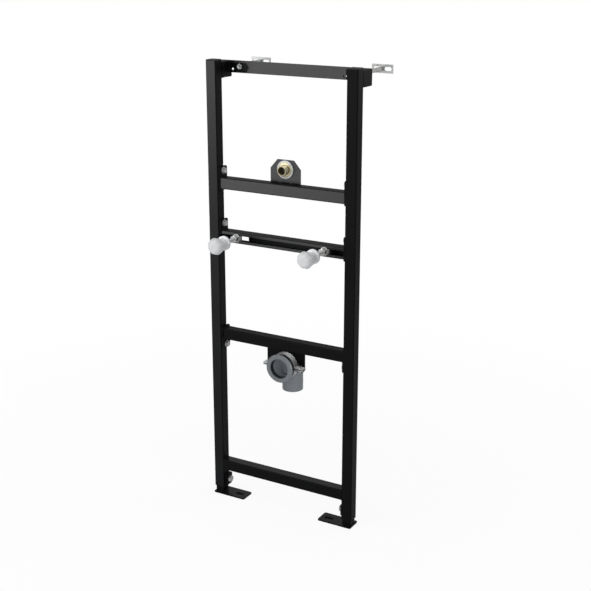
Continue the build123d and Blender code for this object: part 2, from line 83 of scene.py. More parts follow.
# a Finish is one material; node() adds any node to it
class Finish:
    def __init__(self, name):
        self.material = bpy.data.materials.new(name)
        self.material.use_nodes = True
        self.tree = self.material.node_tree
        self.shader = self.tree.nodes["Principled BSDF"]
        self.place = self.node("ShaderNodeTexCoord", output="Object")

    def node(self, kind, settings=None, inputs=None, output=0):
        made = self.tree.nodes.new(kind)
        for key, value in (settings or {}).items():
            setattr(made, key, value)
        for key, value in (inputs or {}).items():
            self.feed(made.inputs[key], value)
        return Wire(self, made.outputs[output])

    def feed(self, socket, value):
        if isinstance(value, Wire):
            self.tree.links.new(value.socket, socket)
        elif socket.type == "RGBA":
            socket.default_value = (*value, 1.0)
        else:
            socket.default_value = value

    def noise(self, size, detail=3.0, rough=0.5, place=None):
        inputs = {"Vector": place or self.place, "Scale": 1.0 / size, "Detail": detail, "Roughness": rough}
        return self.node("ShaderNodeTexNoise", {}, inputs)

    def mix(self, factor, first, second):
        return self.node("ShaderNodeMix", {"data_type": "RGBA"}, {0: factor, 6: first, 7: second}, 2)

    # 1 where a value lies within half of the middle, 0 elsewhere
    def within(self, value, middle, half):
        return self.node("ShaderNodeMath", {"operation": "COMPARE"}, {0: value, 1: middle, 2: half})

    def axes(self):
        split = self.node("ShaderNodeSeparateXYZ", {}, {0: self.place})
        return [Wire(self, socket) for socket in split.socket.node.outputs]

    def stretch(self, scale):
        return self.node("ShaderNodeVectorMath", {"operation": "MULTIPLY"}, {0: self.place, 1: scale})

    def bump(self, height, depth, strength=1.0):
        return self.node("ShaderNodeBump", {}, {"Height": height, "Distance": depth, "Strength": strength})

    def set(self, sockets):
        for name, value in sockets.items():
            self.feed(self.shader.inputs[name], value)
        return self.material


# powder coat: tiny orange peel and faint clouding; the hollows of open bars are dull
coat = {"colour": (0.0024, 0.0025, 0.0028), "worn": (0.0062, 0.0064, 0.0069), "roughness": 0.44,
        "gloss": 0.055, "peel": 1.1 * mm, "grain": 0.28 * mm, "depth": 0.05 * mm, "cloud": 90 * mm, "dull": 0.45,
        "hollows": {"top_bar": 1.5 * mm, "fixing_rail": 2 * mm}}


def makeCoat():
    finish = Finish("blackCoat")
    cloud = finish.noise(coat["cloud"], 4.0, 0.55)
    peel = finish.noise(coat["peel"], 1.5)
    grain = finish.noise(coat["grain"], 1.0)
    tone = (cloud * 0.7 + grain * 0.5 - 0.35).clamp()
    hollow = 0.0
    for bar, wall in coat["hollows"].items():
        low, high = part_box(bar)
        inside = 1.0
        for value, start, end in zip(finish.axes(), low, high):
            inside = inside * finish.within(value, (start + end) / 2, (end - start) / 2 - wall + 0.2 * mm)
        hollow = hollow + inside
    dull = hollow * coat["dull"]
    return finish.set({
        "Base Color": finish.mix(tone, coat["colour"], coat["worn"]),
        "Roughness": (cloud * 0.10 + peel * 0.08 + dull + (coat["roughness"] - 0.09)).clamp(),
        "Specular IOR Level": coat["gloss"],
        "Normal": finish.bump(peel * 0.8 + grain * 0.2, coat["depth"], 0.55),
    })


# bright zinc plate with a blue and straw passivation and small crystals
zinc = {"colour": (0.44, 0.45, 0.455), "blue": (0.37, 0.40, 0.43), "straw": (0.50, 0.47, 0.38),
        "metal": 0.72, "roughness": 0.40, "patch": 14 * mm, "crystal": 0.9 * mm, "fine": 0.35 * mm,
        "depth": 0.02 * mm}


def makeZinc():
    finish = Finish("zincPlate")
    patch = finish.noise(zinc["patch"], 3.0, 0.6)
    crystal = finish.node("ShaderNodeTexVoronoi", {}, {"Vector": finish.place, "Scale": 1.0 / zinc["crystal"]})
    fine = finish.noise(zinc["fine"], 2.0)
    tinted = finish.mix((patch * 2.4 - 0.8).clamp(), zinc["blue"], zinc["straw"])
    return finish.set({
        "Base Color": finish.mix(0.55, tinted, zinc["colour"]),
        "Metallic": zinc["metal"],
        "Roughness": crystal * 0.14 + fine * 0.14 + (zinc["roughness"] - 0.12),
        "Normal": finish.bump(crystal * 0.5 + fine * 0.5, zinc["depth"], 0.4),
    })


# turned brass: fine tool rings round the bore, which runs along Y; inside the bore the colour is painted dark as
# shade, and the surface is made rougher and less metallic
# inside the bore, brass['dull'] is painted shade: a dark colour standing in for the shade down the bore
brass = {"colour": (0.40, 0.345, 0.20), "pale": (0.50, 0.465, 0.35), "dull": (0.055, 0.045, 0.018),
         "roughness": 0.30, "ring": 0.5 * mm, "depth": 0.012 * mm, "haze": 9 * mm, "bore": 10.4 * mm}


def makeBrass():
    finish = Finish("turnedBrassShadedBore")
    tool = finish.node("ShaderNodeTexWave", {"bands_direction": "Y"},
                       {"Vector": finish.place, "Scale": 0.16 / brass["ring"], "Distortion": 0.4})
    haze = finish.noise(brass["haze"], 4.0, 0.6)
    low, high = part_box("inlet_fitting")
    across, _, height = finish.axes()
    height = height - (low.z + high.z) / 2
    # mask inside the bore radius, where the colour takes the painted shade
    bore = finish.within(across * across + height * height, 0.0, brass["bore"] ** 2)
    bright = finish.mix((haze * 1.6 - 0.4).clamp(), brass["colour"], brass["pale"])
    return finish.set({
        "Base Color": finish.mix(bore, bright, brass["dull"]),
        "Metallic": 1.0 - bore * 0.6,
        "Roughness": haze * 0.16 + tool * 0.05 + bore * 0.3 + (brass["roughness"] - 0.09),
        "Normal": finish.bump(tool, brass["depth"], 0.35),
    })


# moulded plastics share one recipe: flow marks, drawn out along Z, and a fine spark-eroded grain
flowMarks = {"size": 34 * mm, "stretch": (1.0, 1.0, 0.35)}
whitePlastic = {"name": "whitePlastic", "colour": (0.60, 0.61, 0.62), "shade": (0.55, 0.56, 0.575),
                "roughness": 0.36, "gloss": 0.4, "grain": 0.45 * mm, "depth": 0.015 * mm}
greyPlastic = {"name": "greyPlastic", "colour": (0.100, 0.108, 0.117), "shade": (0.088, 0.095, 0.104),
               "roughness": 0.36, "gloss": 0.4, "grain": 0.6 * mm, "depth": 0.02 * mm}
capPlastic = {"name": "capPlastic", "colour": (0.008, 0.008, 0.009), "shade": (0.013, 0.013, 0.014),
              "roughness": 0.48, "gloss": 0.2, "grain": 0.4 * mm, "depth": 0.04 * mm}
sealRubber = {"name": "sealRubber", "colour": (0.010, 0.011, 0.013), "shade": (0.02, 0.021, 0.024),
              "roughness": 0.62, "gloss": 0.2, "grain": 0.5 * mm, "depth": 0.05 * mm}


def makeMoulded(look):
    finish = Finish(look["name"])
    flow = finish.noise(flowMarks["size"], 3.0, 0.55, finish.stretch(flowMarks["stretch"]))
    grain = finish.noise(look["grain"], 2.0)
    return finish.set({
        "Base Color": finish.mix((flow * 1.8 - 0.4).clamp(), look["colour"], look["shade"]),
        "Roughness": flow * 0.12 + grain * 0.06 + (look["roughness"] - 0.09),
        "Specular IOR Level": look["gloss"],
        "Normal": finish.bump(grain, look["depth"], 0.5),
    })


finishes = {
    "black_coat": makeCoat(),
    "zinc": makeZinc(),
    "brass": makeBrass(),
    "white_plastic": makeMoulded(whitePlastic),
    "grey_plastic": makeMoulded(greyPlastic),
    "seal_rubber": makeMoulded(sealRubber),
    "black_plastic": makeMoulded(capPlastic),
}
slotOf = {row["node"]: row["material_slot"] for row in frame["record"]["subparts"]}
for name, node in nodes.items():
    node.data.materials.clear()
    node.data.materials.append(finishes[slotOf[name]])
print("finishes on the CAD nodes")


# a Shape collects the faces of one piece
class Shape:
    def __init__(self, name):
        self.name = name
        self.mesh = bmesh.new()

    # faces between one loop of points and the next; a loop of one point is a tip
    def skin(self, loops, closed=False):
        rows = [[self.mesh.verts.new(point) for point in loop] for loop in loops]
        if closed:
            rows.append(rows[0])
        for low, high in zip(rows, rows[1:]):
            for step in range(max(len(low), len(high))):
                corners = []
                for row, place in ((low, step), (low, step + 1), (high, step + 1), (high, step)):
                    corner = row[place % len(row)]
                    if corner not in corners:
                        corners.append(corner)
                if len(corners) > 2:
                    self.mesh.faces.new(corners)

    # rings are (along, radius), or a function of the angle that gives them
    def spin(self, place, axis, rings, steps=48, closed=False):
        along = Vector(axis)
        side = Vector((1, 0, 0)) if abs(along.z) > 0.5 else Vector((0, 0, 1))
        other = along.cross(side)
        loops = []
        for ring in rings:
            loop = []
            for step in range(steps):
                angle = 2 * math.pi * step / steps
                far, radius = ring(angle) if callable(ring) else ring
                loop.append(Vector(place) + along * far
                            + (side * math.cos(angle) + other * math.sin(angle)) * radius)
            loops.append(loop[:1] if radius == 0 else loop)
        self.skin(loops, closed)

    # a weld in the corner between two faces, which run off along the two arms
    def bead(self, start, end, firstArm, secondArm, size):
        start, end = Vector(start), Vector(end)
        first, second = Vector(firstArm), Vector(secondArm)
        length = (end - start).length
        count = max(6, round(length / (weld["ripple"] / 4)))
        section = ((-0.12, -0.12), (1.0, -0.05), (0.84, 0.30), (0.60, 0.60), (0.30, 0.84), (-0.05, 1.0))
        loops = []
        for station in range(count + 1):
            run = length * station / count
            nearEnd = max(0.0, min(run, length - run)) / size
            swell = 0.55 + 0.45 * math.sqrt(min(1.0, nearEnd))
            swell *= 1.0 - weld["dip"] * abs(math.cos(math.pi * run / weld["ripple"]))
            corner = start + (end - start) * (station / count)
            loops.append([corner + (first * a + second * b) * size * swell for a, b in section])
        tips = [[sum(loop, Vector()) / len(loop)] for loop in (loops[0], loops[-1])]
        self.skin([tips[0]] + loops + [tips[1]])

    def piece(self, slotName, body="frame", replaced=(), smooth=35.0):
        bmesh.ops.recalc_face_normals(self.mesh, faces=self.mesh.faces)
        data = bpy.data.meshes.new(self.name)
        self.mesh.to_mesh(data)
        self.mesh.free()
        data.shade_smooth()
        data.set_sharp_from_angle(angle=math.radians(smooth))
        data.materials.append(finishes[slotName])
        made = bpy.data.objects.new(self.name, data)
        bpy.context.scene.collection.objects.link(made)
        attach(made, body)
        if replaced:
            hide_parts(*replaced)
        return made


def middle(node):
    low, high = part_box(node)
    return (low + high) / 2


# one ring of a hexagon; turned says which way its corners are chamfered
def hexRing(far, flats, turned):
    def ring(angle):
        radius = flats / 2 / math.cos(angle % (math.pi / 3) - math.pi / 6)
        return far - turned * (radius - 0.49 * flats) * 0.55, radius
    return ring


def boltHead(start, height, flats):
    top = start + height
    return [(start, 0), (start, 0.47 * flats), hexRing(start, flats, -1), hexRing(top, flats, 1),
            (top, 0.46 * flats), (top, 0.41 * flats), (top - 0.35 * mm, 0.37 * flats), (top - 0.35 * mm, 0)]


def nutRings(start, height, flats, bore):
    top = start + height
    return [(start + 0.8 * mm, bore), (start, bore + 0.8 * mm), (start, 0.47 * flats), hexRing(start, flats, -1),
            hexRing(top, flats, 1), (top, 0.47 * flats), (top, bore + 0.8 * mm), (top - 0.8 * mm, bore)]


def washerRings(start, thick, radius, bore):
    edge = 0.25 * thick
    return [(start, bore), (start, radius - edge), (start + edge, radius),
            (start + thick - edge, radius), (start + thick, radius - edge), (start + thick, bore)]


# a right-hand thread, run out to its root at both ends; depth below zero cuts into a bore
def threadRings(start, end, radius, pitch, depth, fine=4):
    rows = round(abs(end - start) / pitch * fine)

    def ringAt(far):
        def ring(angle):
            groove = abs(2 * ((far / pitch - angle / (2 * math.pi)) % 1.0) - 1)
            runOut = min(abs(far - start), abs(end - far)) / abs(depth)
            return far, radius - depth * max(groove, 1 - runOut)
        return ring
    return [ringAt(start + (end - start) * row / rows) for row in range(rows + 1)]


# a plain shank with a chamfered tip
def shankRings(start, end, radius, chamfer):
    return [(start, 0), (start, radius), (end - chamfer, radius), (end, radius - chamfer), (end, 0)]


# hexagon bolts that hold the three upper crossbars to the uprights
barBolt = {"flats": 13 * mm, "head": 5.5 * mm, "washer": 2 * mm, "washerRadius": 9 * mm, "washerBore": 4.2 * mm,
           "shank": 4 * mm, "chamfer": 0.8 * mm}
for bar in ("inlet_bar", "fixing_rail", "waste_bar"):
    bolts = Shape(bar + "Bolts")
    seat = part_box(bar)[1].x
    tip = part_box(bar + "_bolts")[1].x
    at = middle(bar + "_bolts")
    for side in (-1, 1):
        place = Vector((side * seat, at.y, at.z))
        washer = washerRings(0, barBolt["washer"], barBolt["washerRadius"], barBolt["washerBore"])
        bolts.spin(place, (-side, 0, 0), washer, closed=True)
        bolts.spin(place, (-side, 0, 0), boltHead(barBolt["washer"], barBolt["head"], barBolt["flats"]))
        shank = shankRings(-barBolt["washer"], tip - seat, barBolt["shank"], barBolt["chamfer"])
        bolts.spin(place, (side, 0, 0), shank, 24)
    bolts.piece("zinc", replaced=[bar + "_bolts"])

# bolts that clamp the legs in the uprights
lockBolt = {"flats": 17 * mm, "head": 7 * mm, "plate": 6 * mm, "shank": 5 * mm, "sink": 1 * mm, "chamfer": 1 * mm}
bolts = Shape("legLockBolts")
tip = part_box("leg_lock_bolts")[1].x
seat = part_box("leg_lock_plates")[1].x - lockBolt["plate"]
at = middle("leg_lock_bolts")
for side in (-1, 1):
    place = Vector((side * seat, at.y, at.z))
    bolts.spin(place, (-side, 0, 0), boltHead(0, lockBolt["head"], lockBolt["flats"]))
    shank = shankRings(-lockBolt["sink"], tip - seat, lockBolt["shank"], lockBolt["chamfer"])
    bolts.spin(place, (side, 0, 0), shank, 32)
bolts.piece("zinc", replaced=["leg_lock_bolts"])

# bolts through the top bar, each with a nut behind its wall bracket
bracketBolt = {"flats": 13 * mm, "head": 5.5 * mm, "nut": 5.5 * mm, "nutBore": 3.6 * mm, "tail": 3 * mm,
               "shank": 4 * mm, "root": 3.4 * mm, "pitch": 1.25 * mm, "threadDepth": 0.6 * mm, "sink": 0.5 * mm}
for side in ("left", "right"):
    bolt = Shape(side + "BracketBolt")
    low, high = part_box(side + "_bracket_bolt")
    place = middle(side + "_bracket_bolt")
    place.y = 0
    nutFar = high.y - bracketBolt["tail"]
    headEnd = low.y + bracketBolt["head"]
    start = headEnd - bracketBolt["sink"]
    bolt.spin(place, (0, -1, 0), boltHead(-headEnd, bracketBolt["head"], bracketBolt["flats"]))
    nut = nutRings(nutFar - bracketBolt["nut"], bracketBolt["nut"], bracketBolt["flats"], bracketBolt["nutBore"])
    bolt.spin(place, (0, 1, 0), nut, closed=True)
    shank = threadRings(headEnd, high.y, bracketBolt["shank"], bracketBolt["pitch"], bracketBolt["threadDepth"])
    bolt.spin(place, (0, 1, 0), [(start, 0), (start, bracketBolt["root"])] + shank + [(high.y, 0)], 24)
    bolt.piece("zinc", replaced=[side + "_bracket_bolt"])

# screws and nuts that draw the two clamp halves together
clampScrew = {"flats": 10 * mm, "head": 4 * mm, "nut": 4 * mm, "nutBore": 2.7 * mm, "tail": 4 * mm,
              "shank": 3 * mm, "root": 2.5 * mm, "pitch": 1 * mm, "threadDepth": 0.45 * mm, "sink": 1 * mm}
screws = Shape("pipeClampScrews")
low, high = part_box("pipe_clamp_screws")
at = middle("pipe_clamp_screws")
for side in (-1, 1):
    place = Vector((side * (high.x - clampScrew["flats"] / math.sqrt(3)), at.y, 0))
    headStart = high.z - clampScrew["head"]
    end = headStart + clampScrew["sink"]
    screws.spin(place, (0, 0, 1), boltHead(headStart, clampScrew["head"], clampScrew["flats"]))
    nut = nutRings(low.z + clampScrew["tail"], clampScrew["nut"], clampScrew["flats"], clampScrew["nutBore"])
    screws.spin(place, (0, 0, 1), nut, closed=True)
    shank = threadRings(low.z, headStart, clampScrew["shank"], clampScrew["pitch"], clampScrew["threadDepth"])
    screws.spin(place, (0, 0, 1), [(low.z, 0)] + shank + [(end, clampScrew["root"]), (end, 0)], 24)
screws.piece("zinc", replaced=["pipe_clamp_screws"])
print("bolts made")


# hangers for the urinal: threaded stud, nut and washer, square rail nut, sleeve and cap
hanger = {"pitch": 1.5 * mm, "threadDepth": 0.85 * mm, "flats": 17 * mm, "nut": 13 * mm, "nutBore": 4.3 * mm,
          "washer": 2 * mm, "washerRadius": 11 * mm, "bore": 5.2 * mm,
          "railNut": 8 * mm, "railNutHalf": 11 * mm, "railNutCorner": 14.6 * mm, "chamfer": 0.8 * mm,
          "collar": 18.8 * mm, "collarThick": 6 * mm, "sleeve": 14 * mm,
          "capFlats": 20.6 * mm, "capCorner": 22.3 * mm, "dome": 12 * mm}


def squareRing(far, half, corner):
    def ring(angle):
        return far, min(half / max(abs(math.cos(angle)), abs(math.sin(angle))), corner)
    return ring


def octagonRing(far, inset=0.0):
    def ring(angle):
        turned = (angle + math.pi / 8) % (math.pi / 4) - math.pi / 8
        return far, min(hanger["capFlats"] / math.cos(turned), hanger["capCorner"] - 0.3 * mm) - inset
    return ring


for side in ("left", "right"):
    place = middle(side + "_hanger_stud")
    place.y = 0
    low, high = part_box(side + "_hanger_stud")
    stud = Shape(side + "HangerStud")
    thread = threadRings(low.y, high.y, (high.x - low.x) / 2, hanger["pitch"], hanger["threadDepth"])
    stud.spin(place, (0, 1, 0), [(low.y, 0)] + thread + [(high.y, 0)], 24)
    stud.piece("zinc", replaced=[side + "_hanger_stud"])

    low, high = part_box(side + "_hanger_nuts")
    nuts = Shape(side + "HangerNuts")
    nuts.spin(place, (0, 1, 0), nutRings(low.y, hanger["nut"], hanger["flats"], hanger["nutBore"]), closed=True)
    washer = washerRings(low.y + hanger["nut"], hanger["washer"], hanger["washerRadius"], hanger["bore"])
    nuts.spin(place, (0, 1, 0), washer, closed=True)
    nutFront, nutBack = high.y - hanger["railNut"], high.y
    half, corner, chamfer = hanger["railNutHalf"], hanger["railNutCorner"], hanger["chamfer"]
    nuts.spin(place, (0, 1, 0), [
        (nutFront, hanger["nutBore"]), (nutFront, hanger["bore"]),
        squareRing(nutFront, half - chamfer, corner - 1 * mm), squareRing(nutFront + chamfer, half, corner),
        squareRing(nutBack - chamfer, half, corner), squareRing(nutBack, half - chamfer, corner - 1 * mm),
        (nutBack, hanger["bore"]), (nutBack, hanger["nutBore"])], closed=True)
    nuts.piece("zinc", replaced=[side + "_hanger_nuts"])

    low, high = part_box(side + "_hanger_sleeve")
    sleeve = Shape(side + "HangerSleeve")
    long = high.y - low.y
    collar, thick, barrel, bore = hanger["collar"], hanger["collarThick"], hanger["sleeve"], hanger["bore"]
    sleeve.spin(place + Vector((0, high.y, 0)), (0, -1, 0), [
        (0, bore), (0, 8 * mm), (1.6 * mm, 8.6 * mm), (1.6 * mm, 15.4 * mm), (0, 16 * mm),
        (0, collar - 0.8 * mm), (0.25 * mm, collar - 0.25 * mm), (0.8 * mm, collar),
        (thick - 0.8 * mm, collar), (thick - 0.25 * mm, collar - 0.25 * mm), (thick, collar - 0.8 * mm),
        (thick, barrel + 0.7 * mm), (thick + 0.7 * mm, barrel),
        (long - 3.2 * mm, barrel), (long - 2.8 * mm, barrel - 0.5 * mm),  # a groove near the front end
        (long - 1.9 * mm, barrel - 0.5 * mm), (long - 1.5 * mm, barrel), (long - 0.5 * mm, barrel - 0.1 * mm),
        (long, barrel - 0.6 * mm), (long, bore)], 64, closed=True)
    sleeve.piece("white_plastic", replaced=[side + "_hanger_sleeve"])

    low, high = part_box(side + "_hanger_cap")
    cap = Shape(side + "HangerCap")
    long, dome = high.y - low.y, hanger["dome"]
    rings = [(1.2 * mm, 0), (1.2 * mm, 13 * mm), (0, 13.8 * mm), octagonRing(0, 1 * mm),
             octagonRing(0.3 * mm, 0.3 * mm), octagonRing(1 * mm)]
    for part in range(13):
        bend = math.pi / 2 * part / 12
        rings.append(octagonRing(long - dome + dome * math.sin(bend), dome * (1 - math.cos(bend))))
    rings += [(long, 5 * mm), (long, 2.2 * mm), (long - 0.3 * mm, 1.7 * mm), (long - 0.3 * mm, 0)]
    cap.spin(place + Vector((0, high.y, 0)), (0, -1, 0), rings, 64)
    cap.piece("white_plastic", replaced=[side + "_hanger_cap"], smooth=28.0)
print("hangers made")


# water inlet: a threaded brass body, a plated ring against the plate and a lock nut behind it
inlet = {"front": 13.2 * mm, "tail": 13 * mm, "bore": 9.3 * mm, "pitch": 1.814 * mm, "depth": 1.0 * mm,
         "flange": 19 * mm, "ring": 24 * mm, "ringThick": 3 * mm, "flats": 36 * mm}
low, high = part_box("inlet_fitting")
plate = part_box("inlet_plate")[0].y
place = middle("inlet_fitting")
place.y = 0
ringStart = plate - inlet["ringThick"]
body = Shape("inletBody")
outer = [(low.y, inlet["bore"] + 1.6 * mm), (low.y, inlet["front"] - 1.4 * mm)]
outer += threadRings(low.y + 0.2 * mm, ringStart - 3 * mm, inlet["front"], inlet["pitch"], inlet["depth"])
outer += [(ringStart - 2.9 * mm, inlet["front"] - 1.5 * mm), (ringStart - 1.2 * mm, inlet["front"] - 1.5 * mm),
          (ringStart - 0.6 * mm, inlet["flange"] - 1 * mm), (ringStart - 0.1 * mm, inlet["flange"]),
          (plate, inlet["flange"]), (plate, inlet["tail"] - inlet["depth"])]
outer += threadRings(plate + 0.2 * mm, high.y - 0.4 * mm, inlet["tail"], inlet["pitch"], inlet["depth"])
outer += [(high.y, inlet["tail"] - 1.6 * mm), (high.y, inlet["bore"] + 0.6 * mm), (high.y - 0.6 * mm, inlet["bore"])]
outer += threadRings(low.y + 15 * mm, low.y + 1.4 * mm, inlet["bore"] + 0.9 * mm, inlet["pitch"], 0.9 * mm)
body.spin(place, (0, 1, 0), outer, 48, closed=True)
body.piece("brass", replaced=["inlet_fitting"])

collarRing = Shape("inletRing")
collarRing.spin(place, (0, 1, 0), [
    (ringStart, inlet["flange"] + 0.1 * mm), (ringStart, inlet["ring"] - 2.4 * mm),
    (ringStart + 0.2 * mm, inlet["ring"] - 1.3 * mm), (ringStart + 0.7 * mm, inlet["ring"] - 0.4 * mm),
    (ringStart + 1.4 * mm, inlet["ring"]), (plate - 0.5 * mm, inlet["ring"]), (plate, inlet["ring"] - 0.5 * mm),
    (plate, inlet["flange"] + 0.1 * mm)], 64, closed=True)
collarRing.piece("zinc")

low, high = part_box("inlet_locknut")
nut = Shape("inletLockNut")
nut.spin(place, (0, 1, 0), nutRings(low.y, high.y - low.y, inlet["flats"], inlet["tail"] - 0.6 * mm), 60, closed=True)
nut.piece("brass", replaced=["inlet_locknut"])

# lip seal in the mouth of the waste elbow
seal = {"outer": 27 * mm, "web": 26.2 * mm, "flank": 25.5 * mm, "lip": 25 * mm}
low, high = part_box("waste_seal")
place = middle("waste_seal")
place.y = low.y
lips = Shape("wasteSeal")
ringPoints = [(0, seal["outer"]), (0, seal["web"]), (0.8 * mm, seal["flank"]), (2.4 * mm, seal["lip"]),
              (3.2 * mm, seal["lip"] + 0.1 * mm), (4.2 * mm, seal["web"]), (6.4 * mm, seal["web"]),
              (7.0 * mm, seal["flank"]), (8.6 * mm, seal["lip"]), (9.4 * mm, seal["lip"] + 0.1 * mm),
              (10.4 * mm, seal["web"]), (high.y - low.y, seal["web"] + 0.2 * mm), (high.y - low.y, seal["outer"])]
lips.spin(place, (0, 1, 0), ringPoints, 72, closed=True)
lips.piece("seal_rubber", replaced=["waste_seal"])

# parting line and depth mark left on the elbow by its mould
elbow = {"pipe": 28 * mm, "bend": 35 * mm, "line": 0.45 * mm, "sink": 0.3 * mm, "lineBase": 0.7 * mm,
         "lineCrest": 0.3 * mm, "mark": 24 * mm}
low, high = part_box("waste_elbow")
axisZ = middle("waste_seal").z
bendZ = axisZ - elbow["bend"]
spigotY = high.y - elbow["pipe"]
bendY = spigotY - elbow["bend"]
lines = Shape("elbowMouldLines")


def mouldLine(reach, outward):
    path = [(bendY + reach * math.sin(math.radians(a)), bendZ + reach * math.cos(math.radians(a)),
             math.sin(math.radians(a)), math.cos(math.radians(a))) for a in range(8, 91, 3)]
    path.append((bendY + reach, low.z + 1.5 * mm, 1.0, 0.0))
    wide, narrow = Vector((elbow["lineBase"], 0, 0)), Vector((elbow["lineCrest"], 0, 0))
    loops = []
    for y, z, outY, outZ in path:
        lift = Vector((0, outY, outZ)) * outward
        root = Vector((0, y, z)) - lift * elbow["sink"]
        crest = Vector((0, y, z)) + lift * elbow["line"]
        loops.append([root - wide, root + wide, crest + narrow, crest - narrow])
    tips = [[sum(loop, Vector()) / 4] for loop in (loops[0], loops[-1])]
    lines.skin([tips[0]] + loops + [tips[1]])


mouldLine(elbow["bend"] + elbow["pipe"], 1)
mouldLine(elbow["bend"] - elbow["pipe"], -1)
pipe = elbow["pipe"]
lines.spin((0, spigotY, low.z + elbow["mark"]), (0, 0, 1), [
    (0, pipe - elbow["sink"]), (0, pipe + 0.1 * mm), (0.4 * mm, pipe + elbow["line"]),
    (1.2 * mm, pipe + elbow["line"]), (1.6 * mm, pipe + 0.1 * mm), (1.6 * mm, pipe - elbow["sink"])], 72, closed=True)
lines.piece("grey_plastic")
print("water and waste fittings made")

# welds under the coat, one piece a body
weld = {"ripple": 2.4 * mm, "dip": 0.16, "bar": 2.4 * mm, "plate": 2.2 * mm, "leg": 2.0 * mm, "inset": 2 * mm,
        "corner": 6 * mm, "lockEnd": 13 * mm, "stitches": ((0.02, 0.27), (0.37, 0.63), (0.73, 0.98))}
inset = weld["inset"]
welds = Shape("frameWelds")
up, down, front, back = (0, 0, 1), (0, 0, -1), (0, -1, 0), (0, 1, 0)
barLow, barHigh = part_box("bottom_bar")
for side in (-1, 1):
    inward = (-side, 0, 0)
    x = side * barHigh.x
    for z, arm in ((barHigh.z, up), (barLow.z, down)):
        welds.bead((x, barLow.y + inset, z), (x, barHigh.y - inset, z), inward, arm, weld["bar"])
    low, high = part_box("top_bar")
    x = side * high.x
    welds.bead((x, low.y, low.z + 3 * mm), (x, low.y, high.z - 3 * mm), inward, front, weld["bar"])
    welds.bead((x, low.y + 1 * mm, low.z), (x, high.y - 1 * mm, low.z), inward, down, weld["bar"])
    low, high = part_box(("left" if side < 0 else "right") + "_head_stub")
    welds.bead((low.x + 3 * mm, low.y, low.z), (high.x - 3 * mm, low.y, low.z), back, down, weld["bar"])
    for bar in ("inlet_bar", "fixing_rail", "waste_bar"):
        low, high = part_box(bar)
        x = side * high.x
        for z, arm in ((high.z, up), (low.z, down)):
            welds.bead((x, low.y + inset, z), (x, high.y - inset, z), inward, arm, weld["bar"])
        for z in (low.z + 1 * mm, high.z - 1 * mm - weld["corner"]):
            for y, arm in ((low.y, front), (high.y, back)):
                welds.bead((x, y, z), (x, y, z + weld["corner"]), inward, arm, weld["plate"])
    low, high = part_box("leg_lock_plates")
    x = side * high.x
    welds.bead((x, low.y, low.z + inset), (x, low.y, high.z - inset), inward, front, weld["plate"])
    welds.bead((x, low.y + inset, high.z), (x, weld["lockEnd"], high.z), inward, up, weld["plate"])

# the two bracket plates are stitched to their bars
for bar, plateNode, arm, level in (("inlet_bar", "inlet_plate", up, 1), ("waste_bar", "waste_plate", down, 0)):
    low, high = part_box(plateNode)
    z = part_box(bar)[level].z
    span = high.x - low.x
    for start, end in weld["stitches"]:
        for y, face in ((low.y, front), (high.y, back)):
            welds.bead((low.x + span * start, y, z), (low.x + span * end, y, z), face, arm, weld["plate"])
welds.piece("black_coat", smooth=60.0)

for side in ("left", "right"):
    welds = Shape(side + "LegWelds")
    low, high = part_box(side + "_leg")
    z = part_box(side + "_foot")[1].z
    for x, arm in ((low.x, (-1, 0, 0)), (high.x, (1, 0, 0))):
        welds.bead((x, low.y + inset, z), (x, high.y - inset, z), arm, up, weld["leg"])
    for y, arm in ((low.y, front), (high.y, back)):
        welds.bead((low.x + inset, y, z), (high.x - inset, y, z), arm, up, weld["leg"])
    welds.piece("black_coat", side + "_telescopic_leg", smooth=60.0)
print("welds made")

# thin dark sheets under the feet, only as large as the slots: painted shade, a dark thing put where the floor shows
# through the slots
slotShade = {"inset": 25 * mm, "length": 25 * mm, "width": 11 * mm, "thick": 0.8 * mm, "gap": 0.1 * mm}
for side, way in (("left", -1), ("right", 1)):
    low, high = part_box(side + "_foot")
    centre = (high.x if way < 0 else low.x) + way * slotShade["inset"]
    half, end = (slotShade["length"] - slotShade["width"]) / 2, slotShade["width"] / 2 - slotShade["gap"]
    loops = []
    for z, rounded in ((slotShade["gap"], 0.0), (slotShade["thick"] - 0.2 * mm, 0.0), (slotShade["thick"], 0.3 * mm)):
        loop = []
        for step in range(32):
            angle = math.pi * (2 * step + 1) / 32
            reach = half if math.cos(angle) > 0 else -half
            loop.append((centre + reach + (end - rounded) * math.cos(angle), (end - rounded) * math.sin(angle), z))
        loops.append(loop)
    slotShadeSheet = Shape(side + "FootSlotShade")
    slotShadeSheet.skin([[(centre, 0, slotShade["gap"])]] + loops + [[(centre, 0, slotShade["thick"])]])
    # the sheet is painted shade in the slot, given the seal rubber finish
    slotShadeSheet.piece("seal_rubber", side + "_telescopic_leg")
print("foam pads made")

# camera at the photo's viewing angle
view = {"place": (1.4301, -2.4231, 1.490), "tilt": 72.5984, "turn": 29.881, "lens": 69.44, "sensor": 36.0}
cameraData = bpy.data.cameras.new("camera")
cameraData.lens = view["lens"]
cameraData.sensor_width = view["sensor"]
camera = bpy.data.objects.new("camera", cameraData)
camera.location = view["place"]
camera.rotation_euler = (math.radians(view["tilt"]), 0.0, math.radians(view["turn"]))
bpy.context.scene.collection.objects.link(camera)
bpy.context.scene.camera = camera

